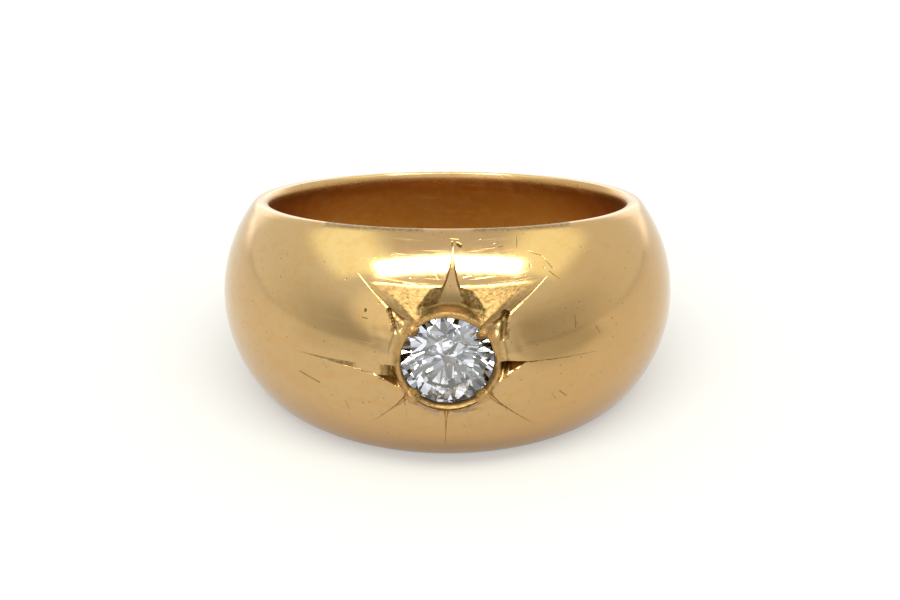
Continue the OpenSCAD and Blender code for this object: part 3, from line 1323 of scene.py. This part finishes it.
def make_camera():
    start_piece()
    back = Vector((0, -math.cos(CAMERA_RISE), math.sin(CAMERA_RISE)))
    bpy.ops.object.camera_add(
        location=HOLE_CENTRE + back * CAMERA_DISTANCE,
        rotation=(math.pi / 2 - CAMERA_RISE, 0, 0))
    camera = bpy.context.object
    camera.data.lens = LENS
    camera.data.sensor_width = FILM
    camera.data.clip_start = CLIP_START
    camera.data.shift_x, camera.data.shift_y = CAMERA_SHIFT
    bpy.context.scene.camera = camera


def make_box_light(power):
    """The rectangular softbox, which faces the ring."""
    light = add_piece("top_box", bpy.ops.object.light_add, type="AREA", location=BOX_PLACE)
    light.rotation_euler = (HOLE_CENTRE - BOX_PLACE).to_track_quat("-Z", "Y").to_euler()
    light.rotation_euler.rotate_axis("Z", BOX_ROLL)
    light.data.shape = "RECTANGLE"
    light.data.size, light.data.size_y = BOX_SIZE
    light.data.energy = BOX_BRIGHTNESS * power * math.pi * BOX_SIZE[0] * BOX_SIZE[1] * 4
    light.data.color = BOX_COLOUR
    light.visible_camera = False


def make_sky():
    """Soft white light all round, darker low down behind the camera.

    Bright panels stand high on the left and right and low behind the ring, a
    weak one in front on the left, and the camera itself is dark.
    """
    world = bpy.data.worlds.new("studio")
    bpy.context.scene.world = world
    shader = Shader(world)
    direction = shader.node("TexCoord", output="Generated")
    x, y, z = shader.split(direction)
    level = (1 - z * z) ** 0.5
    front = -y / level
    band = z.above(-0.15, 0.02) * (1 - z.above(0.2, 0.6)) * front.above(-0.4, 0.8)
    band = band * (0.25 + (abs(x) / level).above(0.42, 0.7) * 0.75)
    left = (x * -0.46 + y * -0.75 + z * 0.47).above(0.90, 0.98)
    side = abs(x) / z
    depth = y / z
    panel = side.above(0.3, 0.6) * (1 - side.above(1.05, 1.5)) * z.above(0.3, 0.5)
    panel = panel * depth.above(-0.52, -0.3) * (1 - depth.above(0.4, 0.9))
    behind = (y / level).above(0.72, 0.88) * (1 - z.above(0.1, 0.4))
    lens = y * -math.cos(CAMERA_RISE) + z * math.sin(CAMERA_RISE)
    room = shader.mix(
        lens.above(LENS_EDGE, LENS_EDGE + 0.02), window_light(shader, direction), (0.02, 0.02, 0.02))
    colour = shader.coats(
        shader.mix(z.above(0.6, 1.0), (1.08, 1.12, 1.08), (0.92, 0.92, 0.92)),
        (band * 0.75, (0.42, 0.41, 0.36)),
        (left * 0.8, (1.5, 1.5, 1.3)),
        (panel * 0.9, (1.78, 1.95, 1.6)),
        (behind, (1.9, 1.9, 1.9)),
        (shader.ray_is("Transmission") * 0.9, room),
        (shader.ray_is("Camera"), (1, 1, 1)))
    sky = shader.node("Background", {}, {"Color": colour, "Strength": 1.0})
    shader.node("OutputWorld", {}, {"Surface": sky})


def window_light(shader, direction):
    """Windows and dark corners of a room, for the light that the stone breaks up."""
    cells = shader.node("TexVoronoi", {"feature": "F1"}, {
        "Vector": direction, "Scale": 5.5, "Randomness": 1.0}, output="Color")
    share = shader.node("SeparateColor", {}, {"Color": cells})
    return shader.mix(share ** 2.0, (0.03, 0.033, 0.04), (1.55, 1.6, 1.74))


class RING_OT_stage(Operator):
    """Sets up the floor, the lights and the camera"""

    bl_idname = "ring.stage"
    bl_label = "Set the Stage"

    def execute(self, context):
        make_floor(context.scene.ring_stage)
        make_camera()
        make_sky()
        make_box_light(context.scene.ring_stage.box_power)
        context.scene.view_settings.view_transform = "Standard"
        return {"FINISHED"}


class RING_PT_panel(Panel):
    """Lists the ring's sizes, finish and making steps"""

    bl_idname = "RING_PT_panel"
    bl_label = "Star-Set Ring"
    bl_space_type = "VIEW_3D"
    bl_region_type = "UI"
    bl_category = "Ring"

    def draw(self, context):
        layout = self.layout
        for group in GROUPS:
            settings = getattr(context.scene, group)
            column = layout.column(align=True)
            for name in settings.bl_rna.properties.keys():
                if name not in ("name", "rna_type"):
                    column.prop(settings, name)
        for operator in STEPS:
            layout.operator(operator.bl_idname)


STEPS = (RING_OT_stage, RING_OT_band, RING_OT_stone)
GROUPS = {"ring_shape": RingShape, "ring_finish": RingFinish, "ring_stage": StageSet}
CLASSES = (*GROUPS.values(), *STEPS, RING_PT_panel)


def register():
    for item in CLASSES:
        bpy.utils.register_class(item)
    for name, group in GROUPS.items():
        setattr(bpy.types.Scene, name, PointerProperty(type=group))


def unregister():
    for name in GROUPS:
        delattr(bpy.types.Scene, name)
    for item in reversed(CLASSES):
        bpy.utils.unregister_class(item)


def main():
    register()
    bpy.ops.ring.stage()
    bpy.ops.ring.band()
    bpy.ops.ring.stone()


if __name__ == "__main__":
    main()
